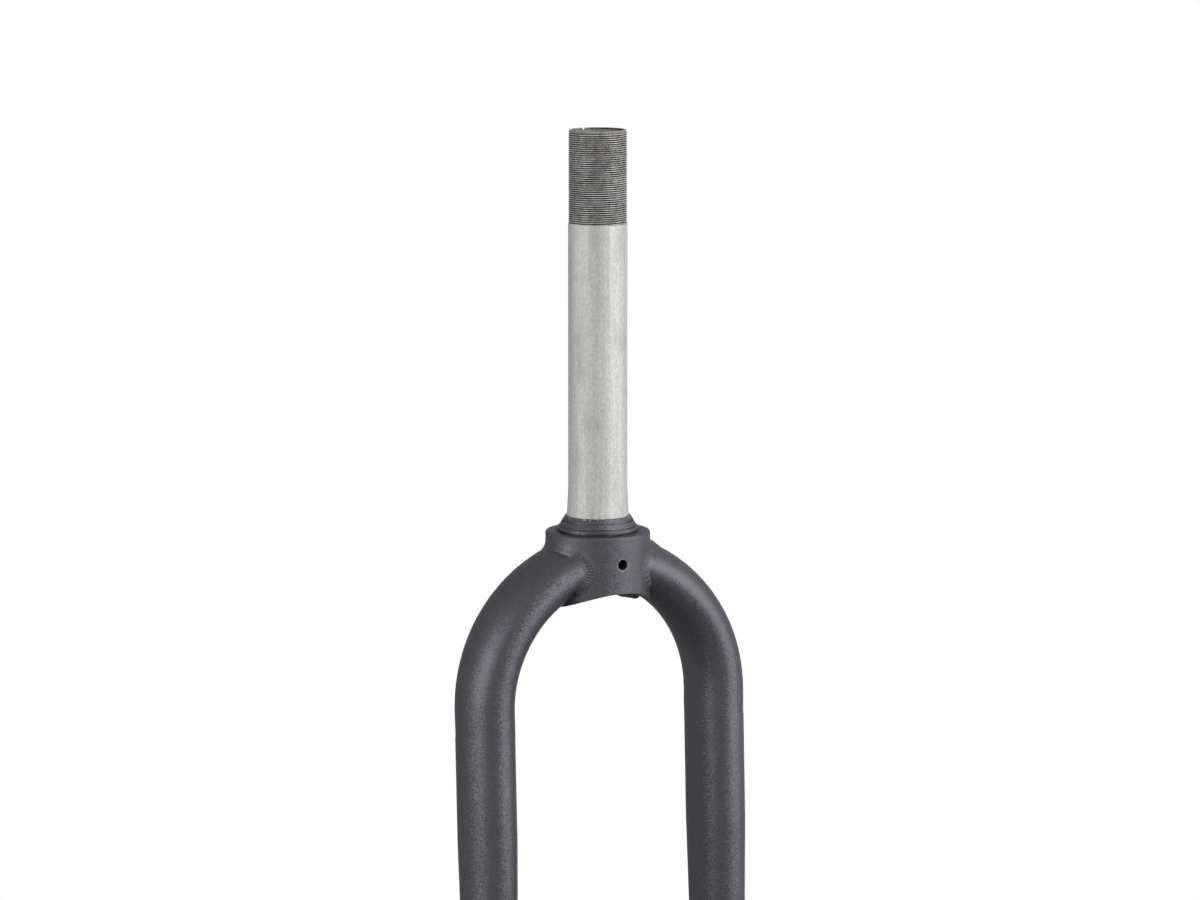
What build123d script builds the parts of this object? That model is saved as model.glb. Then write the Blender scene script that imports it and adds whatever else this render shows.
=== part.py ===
# Rigid bicycle fork: a threaded steel steerer pressed into a round crown, with two bent legs welded
# to the crown's sides and a forged dropout in the foot of each leg.
# Millimetres. +Z runs up the steerer, -Y is forwards and +X is the rider's left.
# The origin is on the steerer's axis, on the crown's top face, where the bearing race is seated.
from build123d import *
from math import acos, cos, degrees, hypot, pi, radians, sin, sqrt
import os

os.makedirs("parts", exist_ok=True)

# Steerer: drawn steel tube, swaged out to the race seat at its foot, threaded and keyed at its top
steerer_diameter = 28.6
steerer_wall = 1.6
steerer_height = 194.2
seat_step = 0.7
seat_height = 8.5
swage_length = 17.5
thread_length = 45.0
thread_step = 0.25
thread_lead_in = 0.9
bore_lead_in = 0.4
keyway_width = 3.2
keyway_depth = 1.0
keyway_run_out = 3.0

# Crown: thick turned collar, arched underneath so that it runs on into the inside of the legs
crown_diameter = 50.8
crown_front_height = 27.6
arch_radius = 45.0
crown_top_rounding = 1.0
steerer_recess = 1.6
bolt_hole_diameter = 5.0
bolt_hole_depth = 13.6
bolt_hole_chamfer = 0.4

# Race: turned ring of the lower head bearing, with a flange over a narrower foot and two grooves
race_height = 7.3
race_flange_reach = 4.9
race_flange_bottom = 0.7
race_flange_thickness = 1.5
race_flange_rounding = 0.7
race_foot_reach = 3.8
race_cone_foot_reach = 4.0
race_cone_top_reach = 1.0
race_groove_width = 0.5
race_groove_depth = 0.35
race_groove_rises = (0.45, 3.1)

# Legs: oval tubes bent in towards the crown and flattened by the bend, leaning forwards, with a round foot
leg_width = 26.8
leg_depth = 36.0
leg_wall = 2.5
leg_spacing = 127.0
leg_lean = 2.24
lean_depth = 11.5
leg_entry_depth = 21.0
bend_radius = 69.4
bend_stations = 6
bend_lead = 14.0
flattening_share = 0.7
bend_width = 25.6
bend_depth = 40.0
straight_length = 65.0
leg_foot_diameter = 23.0
leg_foot_length = 20.0

# Dropouts: forged ends with a plug in the leg, a neck that thins to a flat plate and an open axle slot
axle_depth = 385.0
axle_offset = 36.0
leg_foot_rise = 47.0
hub_width = 100.0
plate_thickness = 7.0
plate_radius = 16.0
plate_neck_radius = 11.5
plate_bevel = 1.2
axle_slot_width = 10.0
plug_length = 14.0
plug_clearance = 0.1
collar_length = 5.0
neck_length = 25.0
neck_inset = 0.4

# Welds: a run bead round the mitre of each leg on the crown, and one round each dropout's collar
crown_weld_leg = 3.4
crown_weld_under = 1.2
dropout_weld_width = 6.0
dropout_weld_height = 1.4

steerer_radius = steerer_diameter / 2
bore_radius = steerer_radius - steerer_wall
thread_radius = steerer_radius - thread_step
thread_start = steerer_height - thread_length
seat_radius = steerer_radius + seat_step
steerer_foot = steerer_recess - crown_front_height
crown_radius = crown_diameter / 2
arch_centre_height = -crown_front_height - arch_radius
arch_side_height = arch_centre_height + sqrt(arch_radius**2 - crown_radius**2)
leg_foot_radius = leg_foot_diameter / 2
leg_offset = leg_spacing / 2
lean = radians(leg_lean)
bend_turn = degrees(acos((crown_radius + bend_radius - leg_offset) / bend_radius))
bend_length = bend_radius * radians(bend_turn)
flattening_length = bend_lead + bend_length * flattening_share
leg_under_height = -leg_entry_depth - bend_width / 2 / sin(radians(bend_turn))
weld_under_radius = hypot(crown_radius, leg_under_height - crown_weld_under - arch_centre_height)

# The left leg's plane: local x points outwards and local y up the leg. Heights in it start at its origin.
leg_plane = Plane((0, 0, -lean_depth), x_dir=(1, 0, 0), z_dir=(0, -cos(lean), sin(lean)))
bend_start = lean_depth - leg_entry_depth - bend_radius * sin(radians(bend_turn))
leg_foot = (lean_depth + leg_foot_rise - axle_depth) / cos(lean)
leg_axis = Axis(leg_plane.from_local_coords((leg_offset, 0, 0)), leg_plane.y_dir)


def write(piece, name):
    """Label a finished piece and save it under its own name."""
    piece.part.label = name
    export_step(piece.part, f"parts/{name}.step")


def write_pair(left_piece, name):
    """Save a piece of the left leg, and its mirror image for the right leg."""
    write(left_piece, f"left_{name}")
    with BuildPart() as right_piece:
        mirror(left_piece.part, about=Plane.YZ)
    write(right_piece, f"right_{name}")


def bend_plane(turn, beyond=0.0):
    """Plane across the leg where it has turned this far, or straight on beyond that place."""
    angle = radians(turn)
    outwards = leg_plane.x_dir * cos(angle) + leg_plane.y_dir * sin(angle)
    upwards = leg_plane.y_dir * cos(angle) - leg_plane.x_dir * sin(angle)
    centre = leg_plane.from_local_coords((leg_offset - bend_radius, bend_start, 0))
    return Plane(centre + outwards * bend_radius + upwards * beyond, x_dir=outwards, z_dir=upwards)


def tube_section(plane, flattened, inset):
    """Section of the leg on a plane across it, from the oval of the straight at 0 to that of the bend at 1."""
    width = leg_width + (bend_width - leg_width) * flattened
    depth = leg_depth + (bend_depth - leg_depth) * flattened
    with BuildSketch(plane) as section:
        Ellipse(width / 2 - inset, depth / 2 - inset)
    return section.sketch


def add_bend(inset, mode):
    """Loft the bend of the leg, drawn smaller by the inset, from the straight into the crown."""
    shares = [station / bend_stations for station in range(bend_stations + 1)]
    sections = [tube_section(bend_plane(0, -bend_lead), 0, inset)]
    for share in shares:
        reached = min((bend_lead + bend_length * share) / flattening_length, 1)
        flattened = (1 - cos(pi * reached)) / 2
        sections.append(tube_section(bend_plane(bend_turn * share), flattened, inset))
    sections.append(tube_section(bend_plane(bend_turn, crown_radius), 1, inset))
    loft(sections, mode=mode)


def add_straight(inset, mode):
    """Raise the foot, the taper and the straight of the leg, drawn smaller by the inset."""
    foot_top = leg_plane.from_local_coords((leg_offset, leg_foot + leg_foot_length, 0))
    with BuildSketch(Plane(foot_top, x_dir=-leg_plane.z_dir, z_dir=leg_plane.y_dir)) as foot_section:
        Circle(leg_foot_radius - inset)
    extrude(foot_section.sketch, amount=-leg_foot_length, mode=mode)
    taper_top = tube_section(bend_plane(0, -straight_length), 0, inset)
    loft([foot_section.sketch, taper_top], mode=mode)
    extrude(taper_top, amount=straight_length - bend_lead, mode=mode)


# Steerer
with BuildPart() as steerer_tube:
    with BuildSketch(Plane.XZ):
        with BuildLine():
            swage_top = (steerer_radius, seat_height + swage_length)
            swage_foot = (seat_radius, seat_height)
            TangentArc(swage_top, swage_foot, tangent=(0, -1))
            Polyline(
                swage_foot,
                (seat_radius, steerer_foot),
                (bore_radius, steerer_foot),
                (bore_radius, steerer_height - bore_lead_in),
                (bore_radius + bore_lead_in, steerer_height),
                (thread_radius - thread_lead_in / 2, steerer_height),
                (thread_radius, steerer_height - thread_lead_in),
                (thread_radius, thread_start),
                (steerer_radius, thread_start),
                swage_top,
            )
        make_face()
    revolve(axis=Axis.Z)
    with Locations((0, thread_radius, steerer_height)):
        Box(keyway_width, 2 * keyway_depth, 2 * (thread_length - keyway_run_out), mode=Mode.SUBTRACT)
    with BuildSketch(Plane.XZ):
        with Locations((0, -bolt_hole_depth)):
            Circle(bolt_hole_diameter / 2)
    extrude(amount=crown_radius, both=True, mode=Mode.SUBTRACT)
write(steerer_tube, "steerer_tube")

# Crown
with BuildPart() as fork_crown:
    with BuildSketch():
        Circle(crown_radius)
        Circle(seat_radius, mode=Mode.SUBTRACT)
    extrude(amount=arch_side_height)
    with BuildSketch(Plane.XZ):
        with Locations((0, arch_centre_height)):
            Circle(arch_radius)
    extrude(amount=crown_diameter, both=True, mode=Mode.SUBTRACT)
    top_rim = fork_crown.edges().group_by(Axis.Z)[-1].sort_by(SortBy.RADIUS)[-1]
    fillet(top_rim, crown_top_rounding)
    with BuildSketch(Plane.XZ):
        with Locations((0, -bolt_hole_depth)):
            Circle(bolt_hole_diameter / 2)
    extrude(amount=crown_diameter, both=True, mode=Mode.SUBTRACT)
    hole_mouths = fork_crown.edges().sort_by(lambda edge: abs(edge.center().Y))[-2:]
    chamfer(hole_mouths, bolt_hole_chamfer)
write(fork_crown, "fork_crown")

# Race
with BuildPart() as crown_race:
    with BuildSketch(Plane.XZ):
        flange_top = race_flange_bottom + race_flange_thickness
        cone_foot = seat_radius + race_cone_foot_reach
        cone_slope = (race_cone_foot_reach - race_cone_top_reach) / (race_height - flange_top)
        with BuildLine():
            Polyline(
                (seat_radius, 0),
                (seat_radius + race_foot_reach, 0),
                (seat_radius + race_foot_reach, race_flange_bottom),
                (seat_radius + race_flange_reach, race_flange_bottom),
                (seat_radius + race_flange_reach, flange_top),
                (cone_foot, flange_top),
                (seat_radius + race_cone_top_reach, race_height),
                (seat_radius, race_height),
                close=True,
            )
        make_face()
        for groove_rise in race_groove_rises:
            with Locations((cone_foot - cone_slope * groove_rise, flange_top + groove_rise)):
                Rectangle(2 * race_groove_depth, race_groove_width, mode=Mode.SUBTRACT)
    revolve(axis=Axis.Z)
    flange_rims = crown_race.edges().filter_by(GeomType.CIRCLE).group_by(SortBy.RADIUS)[-1]
    fillet(flange_rims.sort_by(Axis.Z)[-1], race_flange_rounding)
write(crown_race, "crown_race")

# Legs
with BuildPart() as left_leg:
    add_straight(0, Mode.ADD)
    add_bend(0, Mode.ADD)
    add_straight(leg_wall, Mode.SUBTRACT)
    add_bend(leg_wall, Mode.SUBTRACT)
    with BuildSketch():
        Circle(crown_radius)
    extrude(amount=crown_diameter, both=True, mode=Mode.SUBTRACT)
write_pair(left_leg, "leg")

# Crown welds: the corner between leg and crown filled by a flat bead, trimmed under the arch
with BuildPart() as bend_core:
    add_bend(0, Mode.ADD)
with BuildPart() as crown_core:
    with BuildSketch(Plane.XY.rotated((0, 0, 180))):
        Circle(crown_radius)
    extrude(amount=2 * crown_diameter, both=True)
with BuildPart() as left_crown_weld:
    add(crown_core.part)
    add(bend_core.part)
    inner_edges = left_crown_weld.edges().filter_by(lambda edge: (edge @ 0.5).X < leg_offset / 2)
    seam = inner_edges.filter_by(lambda edge: edge.geom_type not in (GeomType.LINE, GeomType.CIRCLE))
    chamfer(seam, crown_weld_leg)
    add(crown_core.part, mode=Mode.SUBTRACT)
    add(bend_core.part, mode=Mode.SUBTRACT)
    with BuildSketch(Plane.XZ):
        with Locations((0, arch_centre_height)):
            Circle(weld_under_radius)
    extrude(amount=crown_diameter, both=True, mode=Mode.SUBTRACT)
write_pair(left_crown_weld, "crown_weld")

# Dropouts
foot_plane = Plane(leg_plane.from_local_coords((leg_offset, leg_foot, 0)), (1, 0, 0), -leg_plane.y_dir)
collar_plane = foot_plane.offset(collar_length)
plate_middle = hub_width / 2 + plate_thickness / 2
axle_centre = Vector(plate_middle, -axle_offset, -axle_depth)
neck_top = Vector(plate_middle, collar_plane.origin.Y, collar_plane.origin.Z)
neck_line = (axle_centre - neck_top).normalized()
neck_foot = neck_top + neck_line * neck_length
with BuildPart() as left_dropout:
    with BuildSketch(Plane.YZ.offset(hub_width / 2)):
        with Locations((axle_centre.Y, axle_centre.Z)):
            Circle(plate_radius)
        with Locations((neck_foot.Y, neck_foot.Z)):
            Circle(plate_neck_radius)
        make_hull()
    extrude(amount=plate_thickness)
    chamfer(left_dropout.faces().filter_by(Axis.X).edges(), plate_bevel)
    with BuildSketch(collar_plane):
        Circle(leg_foot_radius)
    with BuildSketch(Plane(neck_foot, (1, 0, 0), neck_line)):
        neck_thickness = plate_thickness - 2 * neck_inset
        neck_width = 2 * (plate_neck_radius - neck_inset)
        RectangleRounded(neck_thickness, neck_width, plate_bevel)
    loft()
    with BuildSketch(foot_plane):
        Circle(leg_foot_radius)
    extrude(amount=collar_length)
    with BuildSketch(foot_plane):
        Circle(leg_foot_radius - leg_wall - plug_clearance)
    extrude(amount=-plug_length)
    with BuildSketch(Plane.YZ):
        with Locations((axle_centre.Y, axle_centre.Z)):
            Circle(axle_slot_width / 2)
            Rectangle(axle_slot_width, 2 * plate_radius, align=(Align.CENTER, Align.MAX))
    extrude(amount=leg_spacing, mode=Mode.SUBTRACT)
write_pair(left_dropout, "dropout")

# Dropout welds
with BuildPart() as left_dropout_weld:
    with BuildSketch(leg_plane):
        with BuildLine():
            bead_edge = leg_offset + leg_foot_radius
            bead_foot = (bead_edge, leg_foot - dropout_weld_width / 2)
            bead_crest = (bead_edge + dropout_weld_height, leg_foot)
            bead_top = (bead_edge, leg_foot + dropout_weld_width / 2)
            ThreePointArc(bead_foot, bead_crest, bead_top)
            Line(bead_top, bead_foot)
        make_face()
    revolve(axis=leg_axis)
write_pair(left_dropout_weld, "dropout_weld")
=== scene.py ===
# A rigid bicycle fork, dressed over its solids: bare threaded steerer, painted crown, race and legs.
# Metres, in the frame of the solids: +Z up the steerer, -Y forwards, origin on the crown's top face.
from math import acos, asin, atan2, cos, degrees, floor, hypot, pi, radians, sin, sqrt, tau

import bpy
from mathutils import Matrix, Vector, noise


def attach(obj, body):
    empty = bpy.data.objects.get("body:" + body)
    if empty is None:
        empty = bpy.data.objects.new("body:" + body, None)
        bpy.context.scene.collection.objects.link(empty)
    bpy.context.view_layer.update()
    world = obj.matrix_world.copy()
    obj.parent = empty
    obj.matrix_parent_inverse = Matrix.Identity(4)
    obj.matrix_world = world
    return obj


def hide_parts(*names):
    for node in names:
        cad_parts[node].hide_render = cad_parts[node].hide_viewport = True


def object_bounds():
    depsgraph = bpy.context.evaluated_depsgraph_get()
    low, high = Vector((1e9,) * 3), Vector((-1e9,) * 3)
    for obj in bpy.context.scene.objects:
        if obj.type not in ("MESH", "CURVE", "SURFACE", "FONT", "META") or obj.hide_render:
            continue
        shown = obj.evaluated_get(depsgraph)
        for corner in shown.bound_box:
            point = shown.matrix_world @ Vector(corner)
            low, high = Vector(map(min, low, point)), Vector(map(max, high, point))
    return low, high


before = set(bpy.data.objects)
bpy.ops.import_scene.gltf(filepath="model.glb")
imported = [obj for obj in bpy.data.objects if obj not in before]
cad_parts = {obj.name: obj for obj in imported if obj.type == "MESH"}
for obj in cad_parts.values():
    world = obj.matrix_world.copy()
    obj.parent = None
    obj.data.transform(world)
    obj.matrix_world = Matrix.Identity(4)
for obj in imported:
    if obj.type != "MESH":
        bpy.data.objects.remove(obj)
cad_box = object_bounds()

mm = 0.001

# Steerer: a drawn steel tube, left bare and pressed into the crown by its swaged foot. Its top is cut with a
# fine thread, a keyway at the back and a nick in the rim. A line is spun to the tube, a thread is screwed and
# joined to it, and the keyway, the nick and the bolt hole are cut out.
steerer_radius = 14.3 * mm
bore_radius = 12.7 * mm
bore_lead_in = 0.4 * mm
steerer_top = 194.2 * mm
steerer_foot = -26.0 * mm
seat_radius = 15.0 * mm
seat_top = 8.5 * mm
swage_top = 26.0 * mm
swage_steps = 8
around_steps = 128
merge_distance = 1e-6
steerer_smooth_angle = radians(25)
race_top = 7.3 * mm
crown_radius = 25.4 * mm

thread_foot = 149.2 * mm
thread_turns = 44
spare_turns = 2
thread_pitch = (steerer_top - thread_foot) / thread_turns
thread_crest = 14.1 * mm
thread_root = 13.58 * mm
lead_in_height = 1.4 * mm
lead_in_depth = 0.55 * mm
burr_start = 0.1 * mm
burr_height = 0.05 * mm
burrs_per_metre = 900

# Shares of the thread's pitch, down from the top of a turn.
flank_foot = 0.82
crest_foot = 0.53
crest_top = 0.29

keyway_width = 3.2 * mm
keyway_floor = 13.05 * mm
keyway_foot = 152.2 * mm
nick_place = (-0.76 * mm, 13.38 * mm)
nick_width = 1.1 * mm
nick_length = 4.4 * mm
nick_depth = 0.9 * mm
bolt_hole_radius = 2.5 * mm
bolt_hole_height = -13.6 * mm
bolt_hole_steps = 32
half_hole_step = pi / bolt_hole_steps
hole_cutter_length = 4 * crown_radius


def draw_line(name, points):
    """Draw an open line of edges: one vertex, extruded from place to place."""
    bpy.ops.object.select_all(action="DESELECT")
    bpy.ops.mesh.primitive_plane_add(size=mm)
    line = bpy.context.object
    line.name = name
    bpy.ops.object.mode_set(mode="EDIT")
    bpy.ops.mesh.select_all(action="SELECT")
    bpy.ops.mesh.merge(type="CENTER")
    bpy.ops.transform.translate(value=points[0])
    for here, there in zip(points, points[1:]):
        step = Vector(there) - Vector(here)
        bpy.ops.mesh.extrude_region_move(TRANSFORM_OT_translate={"value": step})
    bpy.ops.object.mode_set(mode="OBJECT")
    return line


def spin_round(steps):
    """Spin the active piece once round the Z axis, and close it where its ends meet."""
    bpy.ops.object.mode_set(mode="EDIT")
    bpy.ops.mesh.select_all(action="SELECT")
    bpy.ops.mesh.spin(steps=steps, angle=tau, center=(0, 0, 0), axis=(0, 0, 1))
    bpy.ops.mesh.select_all(action="SELECT")
    bpy.ops.mesh.remove_doubles(threshold=merge_distance)
    bpy.ops.object.mode_set(mode="OBJECT")


def face_outwards():
    """Turn all faces of the active piece outwards."""
    bpy.ops.object.mode_set(mode="EDIT")
    bpy.ops.mesh.select_all(action="SELECT")
    bpy.ops.mesh.normals_make_consistent(inside=False)
    bpy.ops.object.mode_set(mode="OBJECT")


def apply_modifier(piece, kind, **settings):
    """Add a modifier to a piece, set it up and apply it."""
    bpy.context.view_layer.objects.active = piece
    modifier = piece.modifiers.new(kind.lower(), kind)
    for setting, value in settings.items():
        setattr(modifier, setting, value)
    bpy.ops.object.modifier_apply(modifier=modifier.name)


def select_edges(piece, wanted):
    """Select only the border edges whose two ends are both wanted, and stay in edit mode."""
    bpy.ops.object.mode_set(mode="EDIT")
    bpy.ops.mesh.select_mode(type="EDGE")
    bpy.ops.mesh.select_all(action="DESELECT")
    bpy.ops.mesh.select_non_manifold(extend=False, use_wire=False, use_multi_face=False,
                                     use_non_contiguous=False, use_verts=False)
    bpy.ops.object.mode_set(mode="OBJECT")
    mesh = piece.data
    for edge in mesh.edges:
        ends = [mesh.vertices[corner].co for corner in edge.vertices]
        edge.select = edge.select and all(wanted(end) for end in ends)
    bpy.ops.object.mode_set(mode="EDIT")


def keep_only_selected(piece):
    """Make a piece the only selected and the active one."""
    bpy.ops.object.select_all(action="DESELECT")
    piece.select_set(True)
    bpy.context.view_layer.objects.active = piece


def cut_away(piece, cutter):
    """Cut the closed shape that was just added out of a piece, and remove it."""
    bpy.ops.object.transform_apply(location=True, rotation=True, scale=True)
    apply_modifier(piece, "BOOLEAN", operation="DIFFERENCE", object=cutter, solver="EXACT")
    bpy.data.objects.remove(cutter)


def cut_box(piece, centre, size):
    """Cut a box out of a piece."""
    bpy.ops.mesh.primitive_cube_add(size=1.0, location=centre, scale=size)
    cut_away(piece, bpy.context.object)


thread_line = [
    (thread_root, 0, thread_foot - thread_pitch),
    (thread_root, 0, thread_foot - flank_foot * thread_pitch),
    (thread_crest, 0, thread_foot - crest_foot * thread_pitch),
    (thread_crest, 0, thread_foot - crest_top * thread_pitch),
    (thread_root, 0, thread_foot),
]
thread = draw_line("thread", thread_line)
apply_modifier(thread, "SCREW", screw_offset=thread_pitch, iterations=thread_turns + spare_turns,
               steps=around_steps, render_steps=around_steps)
bpy.ops.object.mode_set(mode="EDIT")
bpy.ops.mesh.select_all(action="SELECT")
bpy.ops.mesh.remove_doubles(threshold=merge_distance)
bpy.ops.object.mode_set(mode="OBJECT")
for vertex in thread.data.vertices:
    reach = hypot(vertex.co.x, vertex.co.y)
    on_crest = reach > thread_root + burr_start
    burr = noise.noise(vertex.co * burrs_per_metre) * burr_height if on_crest else 0.0
    lead_in = max(vertex.co.z - (steerer_top - lead_in_height), 0.0) * lead_in_depth / lead_in_height
    new_reach = min(reach + burr, thread_crest - lead_in)
    vertex.co.x *= new_reach / reach
    vertex.co.y *= new_reach / reach
keep_only_selected(thread)
bpy.ops.object.mode_set(mode="EDIT")
for height, upwards in ((steerer_top, 1), (thread_foot, -1)):
    bpy.ops.mesh.select_all(action="SELECT")
    bpy.ops.mesh.bisect(plane_co=(0, 0, height), plane_no=(0, 0, upwards), clear_outer=True,
                        threshold=merge_distance)
bpy.ops.object.mode_set(mode="OBJECT")

swage_rise = swage_top - seat_top
swage_reach = seat_radius - steerer_radius
swage_radius = (swage_rise**2 + swage_reach**2) / (2 * swage_reach)
swage_line = []
for step in range(swage_steps + 1):
    drop = swage_rise * step / swage_steps
    reach = steerer_radius + swage_radius - sqrt(swage_radius**2 - drop**2)
    swage_line.append((reach, 0, swage_top - drop))
body_line = [
    (steerer_radius, 0, thread_foot),
    *swage_line,
    (seat_radius, 0, steerer_foot),
    (bore_radius, 0, steerer_foot),
    (bore_radius, 0, steerer_top - bore_lead_in),
    (bore_radius + bore_lead_in, 0, steerer_top),
]
steerer = draw_line("bare_steerer", body_line)
spin_round(around_steps)
thread.select_set(True)
bpy.ops.object.join()
for height in (thread_foot, steerer_top):
    select_edges(steerer, lambda end: abs(end.z - height) < merge_distance)
    bpy.ops.mesh.fill(use_beauty=False)
face_outwards()

keyway_reach = 2 * (steerer_radius - keyway_floor)
keyway_centre = (0, keyway_floor + keyway_reach / 2, steerer_top)
cut_box(steerer, keyway_centre, (keyway_width, keyway_reach, 2 * (steerer_top - keyway_foot)))
cut_box(steerer, (*nick_place, steerer_top), (nick_width, nick_length, 2 * nick_depth))
bpy.ops.mesh.primitive_cylinder_add(vertices=bolt_hole_steps, radius=bolt_hole_radius,
                                    depth=hole_cutter_length, location=(0, 0, bolt_hole_height),
                                    rotation=(pi / 2, half_hole_step, 0))
cut_away(steerer, bpy.context.object)
keep_only_selected(steerer)
bpy.ops.object.mode_set(mode="EDIT")
bpy.ops.mesh.select_all(action="SELECT")
bpy.ops.mesh.remove_doubles(threshold=merge_distance)
bpy.ops.mesh.dissolve_degenerate(threshold=merge_distance)
bpy.ops.object.mode_set(mode="OBJECT")
bpy.ops.object.shade_smooth_by_angle(angle=steerer_smooth_angle)


class Wire:
    """A socket among a material's nodes. Sums and products of wires add the Math nodes that they need."""

    def __init__(self, tree, socket):
        self.tree = tree
        self.socket = socket

    def node(self, kind, settings, inputs, output=0):
        """Add a node: its settings first, then the values or wires of its sockets. Gives one output."""
        made = self.tree.nodes.new(kind)
        for name, value in settings.items():
            setattr(made, name, value)
        for name, value in inputs.items():
            if isinstance(value, Wire):
                self.tree.links.new(value.socket, made.inputs[name])
            else:
                made.inputs[name].default_value = value
        return Wire(self.tree, made.outputs[output])

    def math(self, operation, first, second=0.0):
        return self.node("ShaderNodeMath", {"operation": operation}, {0: first, 1: second})

    def __add__(self, other):
        return self.math("ADD", self, other)

    __radd__ = __add__

    def __sub__(self, other):
        return self.math("SUBTRACT", self, other)

    def __rsub__(self, other):
        return self.math("SUBTRACT", other, self)

    def __mul__(self, other):
        return self.math("MULTIPLY", self, other)

    __rmul__ = __mul__

    def __gt__(self, other):
        return self.math("GREATER_THAN", self, other)

    def vector(self, operation, first, second=(0, 0, 0), output="Vector"):
        return self.node("ShaderNodeVectorMath", {"operation": operation}, {0: first, 1: second}, output)

    def rise(self, low, high):
        """0 below low and 1 above high, with a smooth change between them."""
        limits = {"Value": self, "From Min": low, "From Max": high}
        return self.node("ShaderNodeMapRange", {"interpolation_type": "SMOOTHSTEP"}, limits)

    def mix(self, first, second):
        """From the first colour at 0 to the second at 1."""
        return self.node("ShaderNodeMix", {"data_type": "RGBA"}, {0: self, 6: first, 7: second}, 2)

    def stretched(self, scale):
        """The same place, scaled along each axis."""
        return self.node("ShaderNodeMapping", {}, {"Vector": self, "Scale": scale})

    def cloud(self, size, detail=2.0, roughness=0.5):
        """Soft noise, 0 to 1, with lumps of this size."""
        look = {"Vector": self, "Scale": 1 / size, "Detail": detail, "Roughness": roughness}
        return self.node("ShaderNodeTexNoise", {}, look, "Fac")

    def axis(self, name):
        """One coordinate of a place."""
        return self.node("ShaderNodeSeparateXYZ", {}, {"Vector": self}, name)

    def reach(self):
        """Distance from the steerer's axis."""
        across = self.vector("MULTIPLY", self, (1, 1, 0))
        return across.vector("LENGTH", across, output="Value")

    def bump(self, height):
        """Normal of a surface that is raised by this height, in metres."""
        raised = {"Strength": 1.0, "Distance": 1.0, "Height": height}
        return height.node("ShaderNodeBump", {}, raised, "Normal")


def new_material(name):
    """A material with an empty node tree, and the wire that gives a place on the piece."""
    material = bpy.data.materials.new(name)
    material.use_nodes = True
    material.node_tree.nodes.clear()
    coordinates = material.node_tree.nodes.new("ShaderNodeTexCoord")
    return material, Wire(material.node_tree, coordinates.outputs["Object"])


def put_on(material, shader):
    """Join the finished shader to its material."""
    output = material.node_tree.nodes.new("ShaderNodeOutputMaterial")
    material.node_tree.links.new(shader.socket, output.inputs["Surface"])


def dress(piece, material):
    """Give a piece one material."""
    piece.data.materials.clear()
    piece.data.materials.append(material)


# The steel is streaked, grained and smudged. Each range below says where a share starts and is full.
bare_steel = (0.46, 0.46, 0.45, 1)
worn_steel = (0.39, 0.39, 0.378, 1)
pale_steel = (0.585, 0.583, 0.57, 1)
steel_metallic = 0.55
dull_metallic = 0.1
steel_specular_tint = (0.3, 0.3, 0.3, 1)
steel_roughness = 0.49
roughness_change = 0.1
streak_size = 2.2 * mm
streak_stretch = (1, 1, 0.02)
streak_height = 0.01 * mm
streak_share = 0.45
fine_line_size = 0.35 * mm
fine_line_stretch = (1, 1, 0.01)
fine_line_height = 0.004 * mm
grain_size = 0.8 * mm
grain_stretch = (1, 1, 0.5)
grain_range = (0.38, 0.62)
smudge_size = 14 * mm
smudge_stretch = (1, 1, 0.5)
smudge_range = (0.52, 0.72)
smudge_share = 0.6

# The thread has painted shade, near black, in its roots, and a patchy painted glint on its crests and its
# lead-in. Its tones start a little above its foot.
thread_root_shade = (0.03, 0.029, 0.028, 1)
crest_glint_colour = (0.6, 0.592, 0.58, 1)
thread_tone_foot = thread_foot + 0.02 * mm
thread_tone_reach = thread_root - 0.3 * mm
crest_range = (thread_root + 0.16 * mm, thread_root + 0.4 * mm)
glint_patch_size = 3 * mm
glint_patch_range = (0.3, 0.7)
least_glint = 0.5
lead_in_range = (steerer_top - 1.1 * lead_in_height, steerer_top - 0.7 * lead_in_height)
lead_in_glint = 0.55

# The bore rusts at its upper edge, more on the rider's left. The crown's paint ends raggedly above the race.
bore_steel = (0.33, 0.325, 0.315, 1)
bore_range = (bore_radius + 0.05 * mm, bore_radius + 0.3 * mm)
rust = (0.062, 0.043, 0.029, 1)
rust_depth = 1.1 * mm
rust_height_range = (steerer_top - rust_depth, steerer_top - 0.7 * rust_depth)
rust_spot_size = 6 * mm
rust_spot_range = (0.38, 0.6)
damp_share = 0.2
paint_edge = (0.055, 0.052, 0.058, 1)
paint_edge_range = (race_top + 0.12 * mm, race_top + 0.18 * mm)
ragged_size = 1.6 * mm
ragged_height = 0.9 * mm

steel, place = new_material("drawn_steel")
height = place.axis("Z")
reach = place.reach()
streaks = place.stretched(streak_stretch).cloud(streak_size, detail=4.0, roughness=0.6)
fine_lines = place.stretched(fine_line_stretch).cloud(fine_line_size)
smudges = place.stretched(smudge_stretch).cloud(smudge_size, detail=3.0, roughness=0.6)
grain = place.stretched(grain_stretch).cloud(grain_size)
drawn = (streaks * streak_share + grain * (1 - streak_share)).rise(*grain_range)
colour = drawn.mix(bare_steel, pale_steel)
colour = (smudges.rise(*smudge_range) * smudge_share).mix(colour, worn_steel)
# Painted shade in the thread's roots and a patchy painted glint on its crests and lead-in.
threaded = (height > thread_tone_foot) * (reach > thread_tone_reach)
crest = place.math("MAXIMUM", reach.rise(*crest_range), lead_in_glint * height.rise(*lead_in_range))
glint_patches = place.cloud(glint_patch_size, detail=3.0, roughness=0.7).rise(*glint_patch_range)
glinting_crest = crest * (least_glint + (1 - least_glint) * glint_patches)
colour = threaded.mix(colour, glinting_crest.mix(thread_root_shade, crest_glint_colour))
inside = 1 - reach.rise(*bore_range)
damp_side = place.axis("X") * (damp_share / bore_radius)
rusty = (place.cloud(rust_spot_size, detail=3.0, roughness=0.6) + damp_side).rise(*rust_spot_range)
rusty = rusty * height.rise(*rust_height_range)
colour = inside.mix(colour, rusty.mix(bore_steel, rust))
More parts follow.
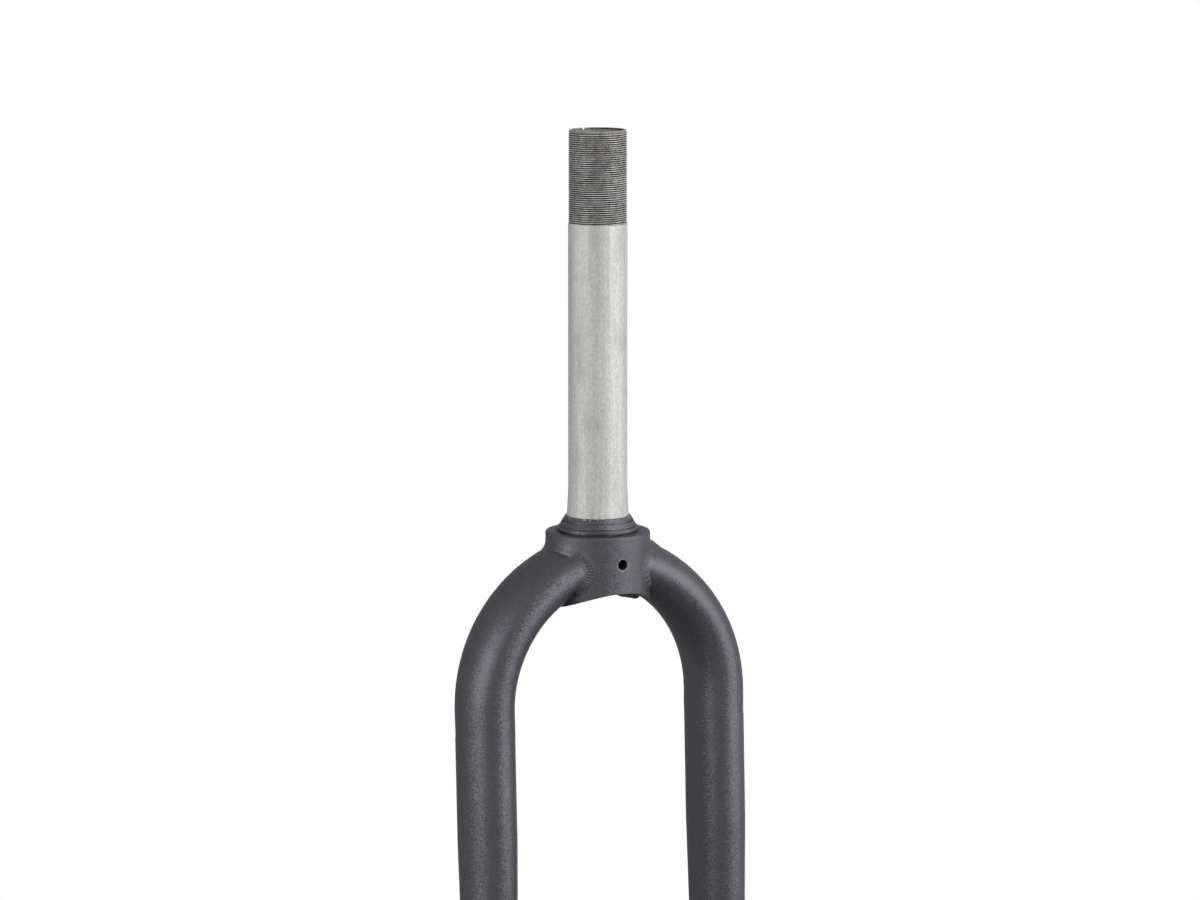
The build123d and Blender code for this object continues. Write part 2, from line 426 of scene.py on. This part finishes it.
ragged = height + (place.cloud(ragged_size, detail=3.0, roughness=0.65) - 0.5) * ragged_height
painted = (1 - ragged.rise(*paint_edge_range)) * (1 - inside)
colour = painted.mix(colour, paint_edge)
roughness = steel_roughness + roughness_change * fine_lines
roughness = roughness + roughness_change * smudges + roughness_change * inside
shader = place.node("ShaderNodeBsdfPrincipled", {}, {
    "Base Color": colour,
    "Metallic": steel_metallic - painted * dull_metallic - inside * dull_metallic,
    "Specular Tint": steel_specular_tint,
    "Roughness": roughness,
    "Normal": place.bump(fine_lines * fine_line_height + streaks * streak_height),
})
put_on(steel, shader)
dress(steerer, steel)
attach(steerer, "root")
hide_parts("steerer_tube")

# Crown: a thick collar, turned, arched underneath and drilled for a bolt. It is painted in graphite with
# fine flake, in one coat with the legs that are welded to it. A painted highlight rings the bolt hole's lip.
paint_dark = (0.084, 0.080, 0.092, 1)
paint_pale = (0.132, 0.127, 0.144, 1)
paint_metallic = 0.85
paint_specular_level = 0.1
paint_specular_tint = (0.53, 0.53, 0.53, 1)
paint_roughness = 0.37
crown_roughness = 0.46
flake_size = 0.5 * mm
flake_tilt = 0.2
flake_share = 0.5
flake_roughness = 0.06
mottle_size = 30 * mm
mottle_roughness = 0.05
orange_peel_size = 1.6 * mm
orange_peel_height = 0.02 * mm
chip_and_highlight_sink = 0.06 * mm
# Painted highlight: a pale grey ring on the bolt hole's chamfer.
hole_lip_highlight = (0.24, 0.236, 0.246, 1)
hole_lip_start = (bolt_hole_radius + 0.02 * mm, bolt_hole_radius + 0.08 * mm)
hole_lip_end = (bolt_hole_radius + 0.55 * mm, bolt_hole_radius + 0.65 * mm)


def graphite_paint(name, chips_and_highlight=None, chip_and_highlight_colour=None, roughness=paint_roughness):
    """Satin paint with tilted metal flake. The share says where a second colour is laid over it: chips on the
    race, a painted highlight at the bolt hole.
    """
    material, place = new_material(name)
    cells = place.node("ShaderNodeTexVoronoi", {}, {"Vector": place, "Scale": 1 / flake_size}, "Color")
    flake = cells.node("ShaderNodeSeparateColor", {}, {"Color": cells}, "Red")
    tilt = cells.vector("MULTIPLY", cells.vector("SUBTRACT", cells, (0.5, 0.5, 0.5)), [flake_tilt] * 3)
    mottle = place.cloud(mottle_size, detail=3.0)
    colour = (flake * flake_share + mottle * (1 - flake_share)).mix(paint_dark, paint_pale)
    height = place.cloud(orange_peel_size) * orange_peel_height
    # Chips on the race, or a painted highlight at the bolt hole, laid on in the second colour and sunk a
    # little.
    if chips_and_highlight:
        chip_and_highlight_share = chips_and_highlight(place)
        colour = chip_and_highlight_share.mix(colour, chip_and_highlight_colour)
        height = height - chip_and_highlight_share * chip_and_highlight_sink
    shader = place.node("ShaderNodeBsdfPrincipled", {}, {
        "Base Color": colour,
        "Metallic": paint_metallic,
        "Roughness": roughness + flake_roughness * flake + mottle_roughness * mottle,
        "Specular IOR Level": paint_specular_level,
        "Specular Tint": paint_specular_tint,
        "Normal": place.vector("NORMALIZE", place.vector("ADD", place.bump(height), tilt)),
    })
    put_on(material, shader)
    return material


def hole_lip_highlight_share(place):
    """The chamfer of the bolt hole, where a painted highlight is laid on the paint."""
    from_axis = place.vector("SUBTRACT", place.vector("MULTIPLY", place, (1, 0, 1)), (0, 0, bolt_hole_height))
    reach = from_axis.vector("LENGTH", from_axis, output="Value")
    return reach.rise(*hole_lip_start) * (1 - reach.rise(*hole_lip_end))


paint = graphite_paint("graphite_paint")
# The crown's paint carries a painted highlight, a pale ring on the bolt hole's chamfer.
highlighted_crown_paint = graphite_paint("drilled_paint_highlighted", hole_lip_highlight_share, hole_lip_highlight, crown_roughness)
dress(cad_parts["fork_crown"], highlighted_crown_paint)

# Race: the turned ring of the lower head bearing, pressed on the steerer's seat and painted over. The paint
# is chipped along its upper edge, where the bare steerer comes out.
race_roughness = 0.35
chip_size = 1.3 * mm
chip_depth = 0.7 * mm
chip_range = (0.56, 0.62)


def chipped_edge(place):
    """Small chips in the paint, close to the race's upper edge."""
    edge = place.axis("Z").rise(race_top - chip_depth, race_top)
    return edge * place.cloud(chip_size, detail=3.0, roughness=0.7).rise(*chip_range)


race_paint = graphite_paint("chipped_paint", chipped_edge, pale_steel, race_roughness)
dress(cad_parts["crown_race"], race_paint)

# Legs: two oval tubes of drawn aluminium, bent in towards the crown and tapered to round feet. They are
# painted in one coat with the crown.
for side in ("left", "right"):
    dress(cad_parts[f"{side}_leg"], paint)

# Crown welds: a bead run round the mitre of each leg on the crown and painted over with the rest. It is
# smooth over the leg, rippled at the front and back, and fat where it wraps the crown's lower rim. Each is
# made as a ring whose points are led along the seam.
lean = radians(2.24)
lean_depth = 11.5 * mm
leg_entry_depth = 21.0 * mm
leg_offset = 63.5 * mm
bend_radius = 69.4 * mm
oval_in_plane = 12.8 * mm
oval_across = 20.0 * mm
arch_radius = 45.0 * mm
arch_height = -72.6 * mm
seam_search = 25.0 * mm
seam_halvings = 40
ring_radius = 20.0 * mm
ring_section = 2.0 * mm
bead_stations = 600
bead_steps = 20
bead_inner_steps = 3
bead_smooth_angle = radians(50)
toe_sink = 0.1 * mm
bead_root = 0.8 * mm
root_inset = 0.2
rim_cover = 0.2 * mm
wrap_length = 0.8 * mm
fat_height = -37.2 * mm
crown_bead_seed = 11

# Beads are uneven by noise, each kind of it along its own row: in width, in the places of the ripples and in
# their heights. The ripples are bowed, and an edge stands up over a range of the bead's width.
width_row = 9
width_change = 0.1
width_waves = 0.03
wander_row = 0
wander_share = 0.6
wander_waves = 120
ripple_row = 5
ripple_change = 0.5
ripple_waves = 260
ripple_bow = 0.8
edge_start = (0.5, 0.85)
edge_end = (0.94, 1.0)

# Places round a bead are in degrees from the top of the leg over its front, underside and back. At each, in
# millimetres: its reach on the crown and on the leg, its ripples and the edge that it leaves on the leg. How
# full it is goes from 0, a hollow round, over 0.5, a flat bevel, to 1, a bulge. Where it is fat, it hangs
# below the crown. The ripples, with a pitch in millimetres, cover a share of its width from the crown.
fat_places = [(0, 0.0), (195, 0.0), (207, 1.0), (222, 1.0), (274, 0.0)]
bead_looks = {
    "right": {
        "pitch": 1.4,
        "ripple_share": 0.6,
        "places": {
            "on_crown": [(0, 3.2), (14, 4.4), (42, 4.2), (60, 3.6), (75, 3.0), (98, 3.0), (114, 4.0),
                         (126, 3.2), (138, 0.5), (196, 0.4), (208, 4.0), (236, 4.0), (258, 3.4), (325, 3.6)],
            "on_leg": [(0, 2.4), (12, 2.2), (42, 2.2), (60, 4.5), (85, 4.5), (114, 3.8), (126, 2.6),
                       (138, 0.6), (196, 0.5), (209, 5.0), (225, 5.6), (274, 3.6)],
            "fill": [(0, 0.1), (14, 0.5), (38, 0.5), (60, 0.04), (120, 0.04), (180, 0.2), (258, 0.1)],
            "ripple": [(0, 0.0), (56, 0.0), (66, 0.32), (112, 0.34), (126, 0.02), (235, 0.08), (260, 0.14),
                       (300, 0.0)],
            "edge": [(0, 0.05), (12, 0.15), (38, 0.2), (50, 0.0), (350, 0.0)],
            "fat": fat_places,
        },
    },
    "left": {
        "pitch": 3.2,
        "ripple_share": 1.0,
        "places": {
            "on_crown": [(0, 1.9), (24, 1.9), (75, 3.6), (95, 4.6), (122, 4.6), (140, 0.5), (195, 0.4),
                         (206, 5.8), (236, 5.8), (258, 2.8), (330, 1.9)],
            "on_leg": [(0, 9.0), (16, 8.4), (68, 2.2), (80, 2.4), (95, 2.0), (122, 1.6), (140, 0.6),
                       (195, 0.5), (208, 5.0), (225, 5.6), (274, 2.8), (330, 8.0)],
            "fill": [(0, 0.56), (16, 0.55), (66, 0.06), (85, 0.12), (130, 0.2), (180, 0.2), (300, 0.15),
                     (330, 0.55)],
            "ripple": [(0, 0.0), (60, 0.02), (84, 0.06), (96, 0.16), (122, 0.16), (136, 0.02), (235, 0.1),
                       (260, 0.12), (300, 0.0)],
            "edge": [(0, 0.0)],
            "fat": fat_places,
        },
    },
}

bend_turn = acos((crown_radius + bend_radius - leg_offset) / bend_radius)
bend_start = lean_depth - leg_entry_depth - bend_radius * sin(bend_turn)
leg_up = Vector((0, sin(lean), cos(lean)))
leg_ahead = Vector((0, -cos(lean), sin(lean)))
bend_centre = Vector((leg_offset - bend_radius, 0, -lean_depth)) + leg_up * bend_start


def leg_section(run):
    """Axis point and outward direction of the left leg, this far beyond the end of its bend."""
    turn = bend_turn + min(run, 0.0) / bend_radius
    outwards = Vector((cos(turn), 0, 0)) + leg_up * sin(turn)
    upwards = Vector((-sin(turn), 0, 0)) + leg_up * cos(turn)
    return bend_centre + outwards * bend_radius + upwards * max(run, 0.0), outwards


def leg_point(run, around):
    """Point on the left leg's outside."""
    centre, outwards = leg_section(run)
    return centre + outwards * (oval_in_plane * cos(around)) + leg_ahead * (oval_across * sin(around))


def seam_run(around):
    """How far beyond the end of the bend the leg's outside meets the crown's wall."""
    near, far = -seam_search, seam_search
    for halving in range(seam_halvings):
        middle = (near + far) / 2
        point = leg_point(middle, around)
        if hypot(point.x, point.y) > crown_radius:
            near = middle
        else:
            far = middle
    return near


def rim_below(point):
    """Height of the crown's arched lower rim under a point on its wall."""
    return arch_height + sqrt(arch_radius**2 - point.x**2)


def crown_walk(point, way, distance):
    """Place this far along the crown's wall or under its rim, the rim crossed and the way out there."""
    place = point + way * distance
    wall_out = Vector((place.x, place.y, 0)).normalized()
    place = wall_out * crown_radius + Vector((0, 0, place.z))
    below = rim_below(place) - place.z
    if below <= 0:
        return place, None, wall_out
    above = max(point.z - rim_below(point), 0.0)
    rim = point.lerp(place, above / (above + below))
    rim.z = rim_below(rim)
    turn = asin(rim.x / arch_radius) - below / arch_radius
    arch_out = Vector((-sin(turn), 0, -cos(turn)))
    return Vector((0, rim.y, arch_height)) - arch_out * arch_radius, rim, arch_out


def smooth(value, low, high):
    """0 below low and 1 above high, with a smooth change between them."""
    share = min(max((value - low) / (high - low), 0.0), 1.0)
    return share * share * (3 - 2 * share)


def at_place(values, turn):
    """Value at a place round a bead, changed smoothly between the listed places."""
    closed = values + [(values[0][0] + 360, values[0][1])]
    for (start, first), (end, second) in zip(closed, closed[1:]):
        if start <= turn < end:
            return first + (second - first) * smooth(turn, start, end)


def ripple(phase):
    """Height of one ripple of a bead: a rounded crest between sharp valleys."""
    share = phase - floor(phase)
    return 1 - (2 * share - 1) ** 2


def shape_bead(name, stations, ripple_pitch, ripple_share, seed):
    """Lead a ring along a seam. A station has two toes, the middle between them and points in the metal."""
    bpy.ops.object.select_all(action="DESELECT")
    section_steps = bead_steps + 1 + bead_inner_steps
    bpy.ops.mesh.primitive_circle_add(vertices=section_steps, radius=ring_section,
                                      location=(ring_radius, 0, 0), rotation=(pi / 2, 0, 0))
    bead = bpy.context.object
    bead.name = name
    bpy.ops.object.transform_apply(location=True, rotation=True)
    spin_round(len(stations))
    travelled = 0.0
    for number, station in enumerate(stations):
        travelled += (station["middle"] - stations[number - 1]["middle"]).length
        station["travelled"] = travelled
    for vertex in bead.data.vertices:
        station_turn = atan2(vertex.co.y, vertex.co.x) / tau
        station = stations[round(station_turn * len(stations)) % len(stations)]
        section_turn = atan2(vertex.co.z, hypot(vertex.co.x, vertex.co.y) - ring_radius) / tau
        step = round(section_turn * section_steps) % section_steps
        if step > bead_steps:
            vertex.co = station["inside"][step - bead_steps - 1]
            continue
        first, second = station["toes"]
        crest = station["middle"] * 2 - (first + second) / 2
        share = step / bead_steps
        across = min(share / ripple_share, 1.0)
        bow = 4 * across * (1 - across)
        travelled = station["travelled"]
        wander = noise.noise((travelled * wander_waves, seed, wander_row)) * wander_share
        size = 1 + ripple_change * noise.noise((travelled * ripple_waves, seed, ripple_row))
        phase = travelled / ripple_pitch + wander - ripple_bow * bow
        raised = ripple(phase) * size * station["ripple"] * sqrt(bow)
        edge = smooth(share, *edge_start) * (1 - smooth(share, *edge_end)) * station["edge"]
        vertex.co = first.lerp(crest, share).lerp(crest.lerp(second, share), share)
        vertex.co += station["out"] * raised + station["edge_out"] * edge
    face_outwards()
    bpy.ops.object.shade_smooth_by_angle(angle=bead_smooth_angle)
    return bead


def crown_stations(places, seed):
    """Stations of the bead round the left leg's mitre."""
    turns = [tau * number / bead_stations for number in range(bead_stations)]
    runs = [seam_run(around) for around in turns]
    seam = [leg_point(run, around) for run, around in zip(runs, turns)]
    stations = []
    for number, (point, run, around) in enumerate(zip(seam, runs, turns)):
        values = {name: at_place(listed, degrees(around)) for name, listed in places.items()}
        uneven = 1 + width_change * noise.noise((number * width_waves, seed, width_row))
        fill = values["fill"]
        along = (seam[(number + 1) % bead_stations] - seam[number - 1]).normalized()
        outwards = leg_section(run)[1]
        leg_out = outwards * (cos(around) / oval_in_plane) + leg_ahead * (sin(around) / oval_across)
        leg_out.normalize()
        wall_out = Vector((point.x, point.y, 0)).normalized()
        crown_way = wall_out.cross(along).normalized()
        crown_way *= 1 if crown_way.dot(leg_out) > 0 else -1
        leg_way = leg_out.cross(along).normalized()
        leg_way *= 1 if leg_way.dot(wall_out) > 0 else -1
        crown_toe, rim, crown_out = crown_walk(point, crown_way, values["on_crown"] * mm * uneven)
        down_leg = (leg_point(run - mm, around) - point).normalized()
        leg_toe = leg_point(run - values["on_leg"] * mm * uneven / down_leg.dot(leg_way), around)
        middle = point * (0.5 - fill) + (crown_toe + leg_toe) * (0.25 + fill / 2)
        if rim:
            wrapped = smooth((crown_toe - rim).length, 0.0, wrap_length)
            middle = middle.lerp(rim + (wall_out + crown_out).normalized() * rim_cover, wrapped)
        hanging = wall_out * (crown_radius + rim_cover) + Vector((0, 0, fat_height))
        middle = middle.lerp(hanging, values["fat"])
        station = {
            "toes": [crown_toe - crown_out * toe_sink, leg_toe - leg_out * toe_sink],
            "middle": middle,
            "out": (crown_out + leg_out).normalized(),
            "edge_out": leg_out,
            "ripple": values["ripple"] * mm,
            "edge": values["edge"] * mm,
            "inside": [
                leg_toe.lerp(point, root_inset) - leg_out * bead_root,
                point - (wall_out + leg_out).normalized() * bead_root,
                crown_toe.lerp(point, root_inset) - crown_out * bead_root,
            ],
        }
        stations.append(station)
    return stations


def mirrored(stations):
    """The same stations on the right leg."""
    across = Vector((-1, 1, 1))
    for station in stations:
        for part in ("middle", "out", "edge_out"):
            station[part] = station[part] * across
        for part in ("toes", "inside"):
            station[part] = [point * across for point in station[part]]
    return stations


for seed, side in enumerate(("left", "right"), crown_bead_seed):
    look = bead_looks[side]
    stations = crown_stations(look["places"], seed)
    if side == "right":
        stations = mirrored(stations)
    bead = shape_bead(f"{side}_crown_bead", stations, look["pitch"] * mm, look["ripple_share"], seed)
    dress(bead, paint)
    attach(bead, "root")
    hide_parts(f"{side}_crown_weld")

# Dropouts: forged ends, plugged into the legs' feet and thinned to a plate with an open slot for the axle.
# They are painted with the legs.
for side in ("left", "right"):
    dress(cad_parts[f"{side}_dropout"], paint)

# Dropout welds: a bead round the joint of each leg's foot and its dropout, laid in overlapping ripples and
# painted over with the rest. They are led round the foot in the same way as the crown welds.
foot_radius = 11.5 * mm
foot_run = -326.75 * mm
foot_bead_width = 5.6 * mm
foot_bead_height = 1.15 * mm
foot_bead_seed = 21
foot_stations = 360
foot_width_change = 0.08
foot_width_waves = 3
foot_root_share = 0.8
foot_ripple_pitch = 1.8 * mm
foot_ripple_height = 0.22 * mm
foot_ripple_share = 1.0


def foot_bead_stations(seed):
    """Stations of the bead round the left leg's foot."""
    centre = Vector((leg_offset, 0, -lean_depth)) + leg_up * foot_run
    stations = []
    for number in range(foot_stations):
        around = tau * number / foot_stations
        out = Vector((cos(around), 0, 0)) + leg_ahead * sin(around)
        noise_place = (cos(around) * foot_width_waves, sin(around) * foot_width_waves, seed)
        uneven = 1 + foot_width_change * noise.noise(noise_place)
        half_width = leg_up * (foot_bead_width * uneven / 2)
        half_root = half_width * foot_root_share
        seam = centre + out * foot_radius
        station = {
            "toes": [seam + half_width - out * toe_sink, seam - half_width - out * toe_sink],
            "middle": seam + out * (foot_bead_height * uneven),
            "out": out,
            "edge_out": out,
            "ripple": foot_ripple_height,
            "edge": 0.0,
            "inside": [point - out * bead_root for point in (seam - half_root, seam, seam + half_root)],
        }
        stations.append(station)
    return stations


for seed, side in enumerate(("left", "right"), foot_bead_seed):
    stations = foot_bead_stations(seed)
    if side == "right":
        stations = mirrored(stations)
    bead = shape_bead(f"{side}_dropout_bead", stations, foot_ripple_pitch, foot_ripple_share, seed)
    dress(bead, paint)
    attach(bead, "root")
    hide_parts(f"{side}_dropout_weld")

# Studio: a floor that runs out of sight in a room that the camera sees as white. Three soft boxes stand to
# the left, to the right and above. A white backdrop on the right, behind the fork, is mirrored in the metal.
# The camera is the one that was fitted to the photo.
floor_height = cad_box[0][2]
floor_radius = 20.0
floor_steps = 64
floor_grey = (0.3, 0.3, 0.3, 1)
white = (1, 1, 1, 1)
white_strength = 1.0
room_strength = 0.54
shadow_reach = 0.45
white_reach = 0.8
near_white = 0.5
mirrored_floor = 0.45
backdrop_turn = radians(115)
backdrop_range = (0.0, 0.5)
camera_distance = 2258.2 * mm
camera_height = 380.0 * mm
camera_pitch = radians(8.586)
camera_yaw = radians(28.749)
camera_pan = radians(0.028)
camera_sight = 100
photo_width = 1200
photo_scale = 0.478 * mm
sensor_width = 36.0

bpy.ops.object.select_all(action="DESELECT")
bpy.ops.mesh.primitive_circle_add(vertices=floor_steps, radius=floor_radius, fill_type="NGON",
                                  location=(0, 0, floor_height))
floor_disc = bpy.context.object
floor_disc.name = "floor"
bpy.ops.object.transform_apply(location=True)


def seen_white(place, behind):
    """Share of a ray that sees white: all of the camera's, and mirrored ones that look behind the fork."""
    camera_ray = place.node("ShaderNodeLightPath", {}, {}, "Is Camera Ray")
    glossy_ray = place.node("ShaderNodeLightPath", {}, {}, "Is Glossy Ray")
    through_ray = place.node("ShaderNodeLightPath", {}, {}, "Is Transmission Ray")
    mirrored_ray = place.math("MAXIMUM", glossy_ray, through_ray) * behind
    return place.math("MAXIMUM", camera_ray, mirrored_ray)


backdrop_bearing = camera_yaw - backdrop_turn
backdrop_way = (-sin(backdrop_bearing), -cos(backdrop_bearing), 0)
floor_white, place = new_material("white_floor")
far_off = place.vector("LENGTH", place, output="Value").rise(shadow_reach, white_reach)
behind = place.vector("DOT_PRODUCT", place, backdrop_way, output="Value").rise(0.0, white_reach)
matt = place.node("ShaderNodeBsdfDiffuse", {}, {"Color": floor_grey})
glow = place.node("ShaderNodeEmission", {}, {"Color": white, "Strength": white_strength})
mirrored_white = place.math("MAXIMUM", behind, mirrored_floor * far_off)
glow_share = seen_white(place, mirrored_white) * (near_white + (1 - near_white) * far_off)
floor_shader = place.node("ShaderNodeMixShader", {}, {0: glow_share, 1: matt, 2: glow})
put_on(floor_white, floor_shader)
dress(floor_disc, floor_white)

world = bpy.data.worlds.new("studio")
bpy.context.scene.world = world
world.use_nodes = True
tree = world.node_tree
tree.nodes.clear()
way = Wire(tree, tree.nodes.new("ShaderNodeTexCoord").outputs["Generated"])
behind = way.vector("DOT_PRODUCT", way, backdrop_way, output="Value").rise(*backdrop_range)
room = way.node("ShaderNodeBackground", {}, {"Color": white, "Strength": room_strength})
backdrop = way.node("ShaderNodeBackground", {}, {"Color": white, "Strength": white_strength})
sky = way.node("ShaderNodeMixShader", {}, {0: seen_white(way, behind), 1: room, 2: backdrop})
world_output = tree.nodes.new("ShaderNodeOutputWorld")
tree.links.new(sky.socket, world_output.inputs["Surface"])


def soft_box(name, turn, rise, distance, width, height, watts):
    """A lamp that faces the crown, turned this far to the right of the camera and raised this much."""
    bearing = camera_yaw - turn
    away = Vector((-sin(bearing) * cos(rise), -cos(bearing) * cos(rise), sin(rise)))
    bpy.ops.object.light_add(type="AREA", location=away * distance)
    lamp = bpy.context.object
    lamp.name = name
    lamp.rotation_euler = away.to_track_quat("Z", "Y").to_euler()
    lamp.data.shape = "RECTANGLE"
    lamp.data.size = width
    lamp.data.size_y = height
    lamp.data.energy = watts


soft_box("left_lamp", turn=radians(-56), rise=radians(9), distance=1.3, width=0.8, height=1.1, watts=7.4)
soft_box("right_lamp", turn=radians(70), rise=radians(9), distance=1.2, width=1.4, height=1.15, watts=9.0)
soft_box("top_lamp", turn=radians(50), rise=radians(38), distance=1.3, width=1.0, height=0.7, watts=3.6)

bpy.ops.object.camera_add()
camera = bpy.context.object
camera.location = (-camera_distance * sin(camera_yaw), -camera_distance * cos(camera_yaw), camera_height)
camera.rotation_euler = (pi / 2 - camera_pitch, 0, -(camera_yaw + camera_pan))
camera.data.sensor_width = sensor_width
camera.data.lens = camera_distance / photo_scale / photo_width * sensor_width
camera.data.clip_end = camera_sight
bpy.context.scene.camera = camera
bpy.context.scene.view_settings.view_transform = "Standard"
